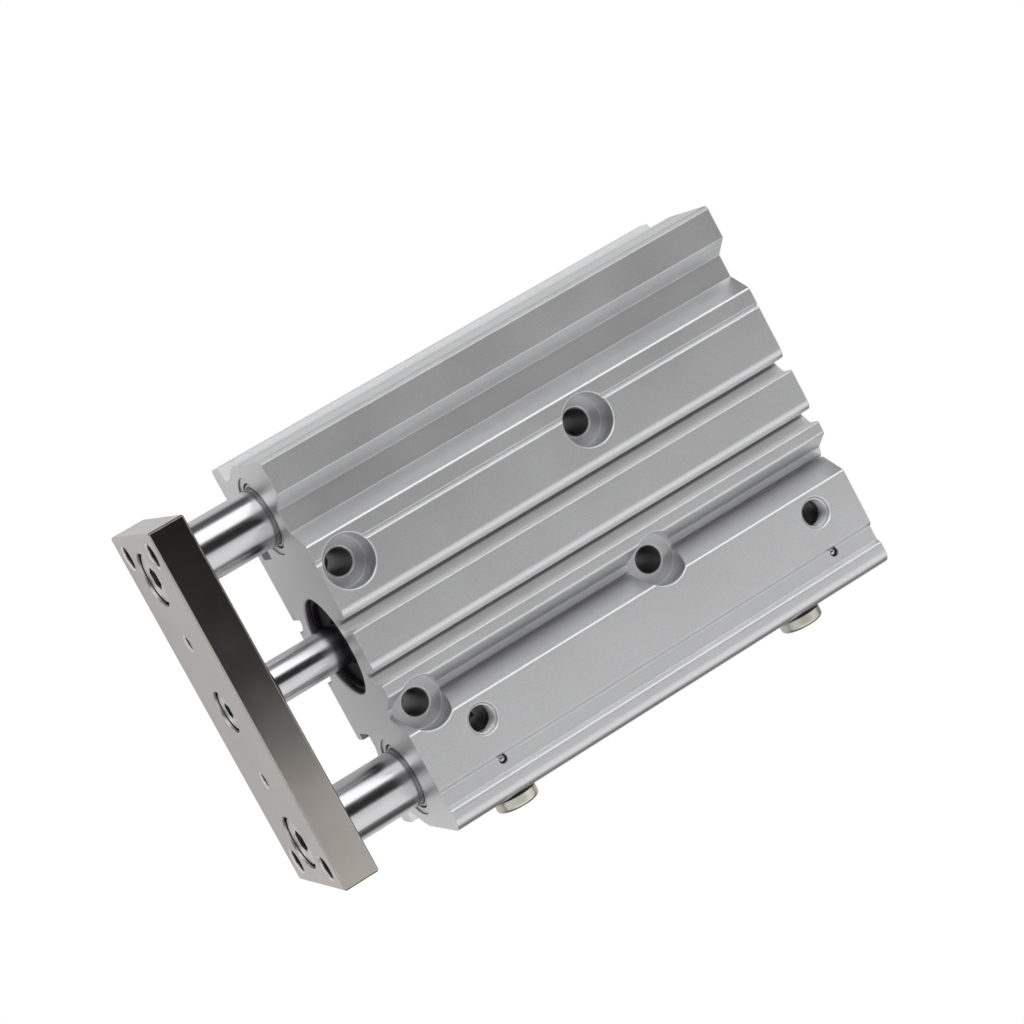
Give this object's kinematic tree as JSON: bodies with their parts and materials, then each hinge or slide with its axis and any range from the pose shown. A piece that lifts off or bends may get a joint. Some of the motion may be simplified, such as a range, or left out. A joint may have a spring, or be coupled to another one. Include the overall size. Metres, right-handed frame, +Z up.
{
  "type": "guided pneumatic cylinder",
  "caption": "Compact air cylinder with a grooved aluminium body, a piston rod and two guide rods that push one end plate",
  "frame": {"origin": "on the wide bottom face, in the middle of the four threaded mounting holes", "axes": "+X along the stroke from the body to the end plate, +Z up from the bottom face, +Y towards the half with the air ports"},
  "size_m": [0.2095, 0.1344, 0.058],
  "materials": {
    "anodised_body": "satin silver anodising over a fine blasted grain, bright machined edges",
    "plate_nickel": "ground steel with satin nickel plating",
    "rod_chrome": "hard chrome, ground and polished",
    "screw_steel": "zinc-nickel plated, bright",
    "ring_steel": "pressed steel, satin",
    "spring_black": "phosphated spring steel, dark",
    "cover_black": "turned, black anodised",
    "seal_rubber": "smooth nitrile rubber",
    "bumper_urethane": "amber urethane",
    "bush_bronze": "oil-filled sintered bronze",
    "lube_felt": "oiled wool felt",
    "piston_aluminium": "turned, chromated",
    "magnet_rubber": "bonded magnet, matt",
    "wear_plastic": "filled acetal",
    "plug_nickel": "nickel-plated brass, warm grey"
  },
  "bodies": {
    "housing": {"body": "anodised_body", "front_bumper": "bumper_urethane", "guide_bush_front_plain_side": "bush_bronze", "guide_bush_front_port_side": "bush_bronze", "guide_bush_rear_plain_side": "bush_bronze", "guide_bush_rear_port_side": "bush_bronze", "guide_felt_plain_side": "lube_felt", "guide_felt_port_side": "lube_felt", "guide_retainer_plain_side": "ring_steel", "guide_retainer_port_side": "ring_steel", "guide_wiper_plain_side": "seal_rubber", "guide_wiper_port_side": "seal_rubber", "head_cover": "cover_black", "head_cover_o_ring": "seal_rubber", "head_cover_snap_ring": "spring_black", "rear_bumper": "bumper_urethane", "rod_bush": "bush_bronze", "rod_cover": "cover_black", "rod_cover_o_ring": "seal_rubber", "rod_cover_snap_ring": "spring_black", "rod_seal": "seal_rubber", "sealing_balls": "rod_chrome", "side_plug_seals": "seal_rubber", "side_port_plugs": "plug_nickel"},
    "slide": {"end_plate": "plate_nickel", "piston_rod": "rod_chrome", "guide_rod_port_side": "rod_chrome", "guide_rod_plain_side": "rod_chrome", "guide_rod_screws": "screw_steel", "piston_rod_screw": "screw_steel", "piston": "piston_aluminium", "piston_wear_ring": "wear_plastic", "piston_seal": "seal_rubber", "piston_magnet": "magnet_rubber", "piston_washer": "screw_steel", "piston_screw": "screw_steel"}
  },
  "joints": [
    {"name": "plate_slide", "type": "slide", "parent": "housing", "child": "slide", "axis": [1, 0, 0], "range_m": [-0.0175, 0.1075]}
  ]
}
